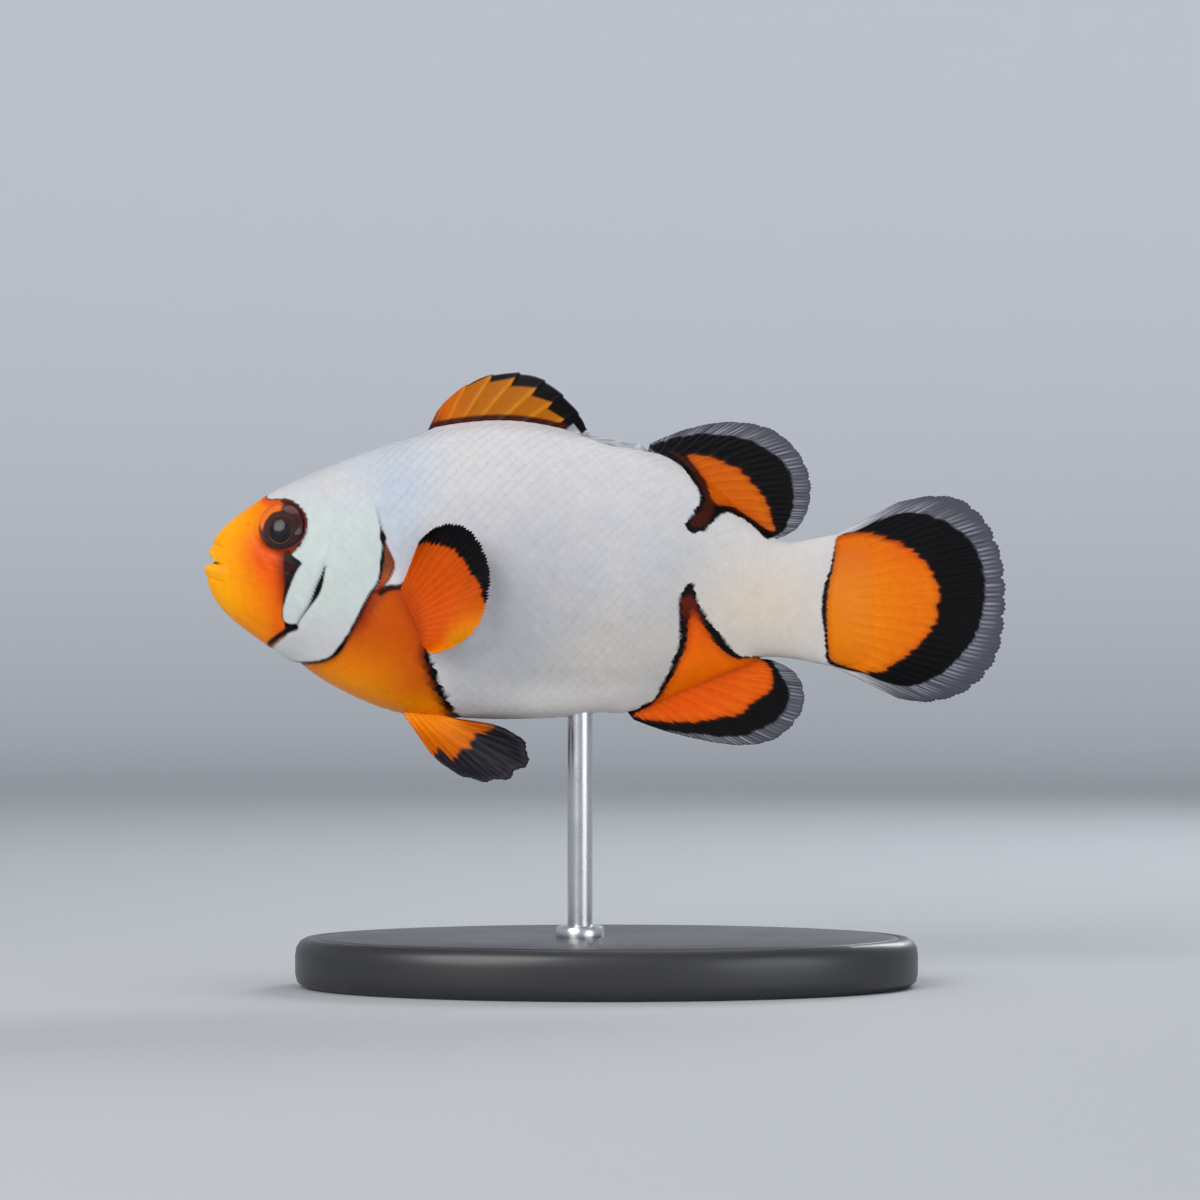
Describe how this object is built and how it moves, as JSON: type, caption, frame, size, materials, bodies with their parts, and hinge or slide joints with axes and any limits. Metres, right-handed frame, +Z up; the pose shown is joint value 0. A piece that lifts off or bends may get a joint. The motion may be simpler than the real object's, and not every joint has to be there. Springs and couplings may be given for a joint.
{
  "type": "clownfish",
  "caption": "Life-size still model of a white-bodied clownfish with an orange face, breast and fins edged in black, held level by one steel rod on a flat oval dark base.",
  "frame": {"origin": "on the surface that the stand rests on, under the middle of the oval base, which is also midway along the fish", "axes": "+X from the snout to the tail, +Y to the fish's right side, +Z up; the view from -Y shows the fish's left side with its head to the left"},
  "size_m": [0.08, 0.036, 0.0612],
  "materials": {
    "skin_orange": "satin wet skin, orange",
    "skin_white": "satin wet skin with small scales, white",
    "fin_orange": "thin rayed fin, orange with a black band and a pale edge",
    "eye": "glossy eye, brown iris with a black pupil",
    "stand_dark": "satin black lacquer",
    "stand_steel": "brushed steel"
  },
  "bodies": {
    "root": {"head": "skin_orange", "lower_jaw": "skin_orange", "gill_cover_left": "skin_white", "gill_cover_right": "skin_white", "eye_left": "eye", "eye_right": "eye", "trunk": "skin_white", "tail_stalk": "skin_white", "dorsal_fin_spiny": "fin_orange", "dorsal_fin_soft": "fin_orange", "anal_fin": "fin_orange", "tail_fin": "fin_orange", "pectoral_fin_left": "fin_orange", "pectoral_fin_right": "fin_orange", "pelvic_fin_left": "fin_orange", "pelvic_fin_right": "fin_orange", "stand_base": "stand_dark", "stand_rod": "stand_steel"}
  },
  "joints": []
}
